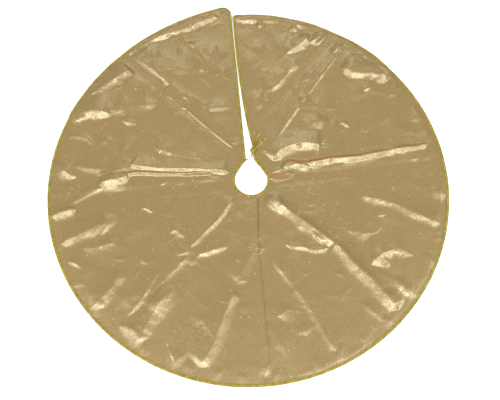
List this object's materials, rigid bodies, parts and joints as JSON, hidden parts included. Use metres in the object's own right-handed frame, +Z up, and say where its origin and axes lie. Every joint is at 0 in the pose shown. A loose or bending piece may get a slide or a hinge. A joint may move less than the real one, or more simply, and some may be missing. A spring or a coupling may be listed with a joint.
{
  "type": "tree skirt",
  "caption": "Round lined tree skirt with a slit from hem to neck hole, bias-bound edges and a knotted tape tie; it folds in half and its front corners fold back.",
  "frame": {"origin": "middle of the footprint, on the floor", "axes": "+Z up, +Y from the neck hole along the slit to the front hem, +X to the side that the tie tails lie on"},
  "size_m": [1.22, 1.257, 0.013],
  "materials": {
    "gold_lame": "champagne gold metallic lame, softly creased, satin sheen",
    "lining_cloth": "matte plain-weave lining",
    "bias_binding": "yellow gold satin bias tape",
    "topstitch_thread": "polyester sewing thread",
    "tie_tape": "yellow gold satin bias tape, folded and stitched"
  },
  "bodies": {
    "front": {"face_front_left": "gold_lame", "lining_front_left": "lining_cloth", "face_front_right": "gold_lame", "lining_front_right": "lining_cloth", "hem_binding_front_left": "bias_binding", "hem_stitching_front_left": "topstitch_thread", "hem_binding_front_right": "bias_binding", "hem_stitching_front_right": "topstitch_thread", "slit_binding_front_right": "bias_binding", "slit_stitching_front_right": "topstitch_thread", "neck_binding_front_left": "bias_binding", "neck_stitching_front_left": "topstitch_thread", "neck_binding_front_right": "bias_binding", "neck_stitching_front_right": "topstitch_thread", "tie_strand_left": "tie_tape", "tie_strand_right": "tie_tape", "tie_knot": "tie_tape"},
    "back": {"face_back": "gold_lame", "lining_back": "lining_cloth", "hem_binding_back": "bias_binding", "hem_stitching_back": "topstitch_thread", "neck_binding_back": "bias_binding", "neck_stitching_back": "topstitch_thread"},
    "left_flap": {"face_left_flap": "gold_lame", "lining_left_flap": "lining_cloth", "edge_binding_left_flap": "bias_binding", "edge_stitching_left_flap": "topstitch_thread"},
    "right_flap": {"face_right_flap": "gold_lame", "lining_right_flap": "lining_cloth", "edge_binding_right_flap": "bias_binding", "edge_stitching_right_flap": "topstitch_thread"},
    "left_tail": {"tie_tail_left": "tie_tape"},
    "right_tail": {"tie_tail_right": "tie_tape"}
  },
  "joints": [
    {"name": "half_fold", "type": "hinge", "parent": "front", "child": "back", "pos_m": [0.011, -0.029, 0.005], "axis": [1, 0, 0], "range_deg": [-165, 0]},
    {"name": "left_flap_fold", "type": "hinge", "parent": "front", "child": "left_flap", "pos_m": [0, 0.062, 0.005], "axis": [0.6691, -0.7431, 0], "range_deg": [0, 150]},
    {"name": "right_flap_fold", "type": "hinge", "parent": "front", "child": "right_flap", "pos_m": [0.017, 0.151, 0.005], "axis": [0.7071, 0.7071, 0], "range_deg": [0, 150]},
    {"name": "left_tail_lift", "type": "hinge", "parent": "front", "child": "left_tail", "pos_m": [0.026, 0.0885, 0.005], "axis": [0.8475, -0.5308, 0], "range_deg": [0, 90]},
    {"name": "right_tail_lift", "type": "hinge", "parent": "front", "child": "right_tail", "pos_m": [0.0335, 0.0825, 0.005], "axis": [0.691, -0.7229, 0], "range_deg": [0, 90]}
  ]
}
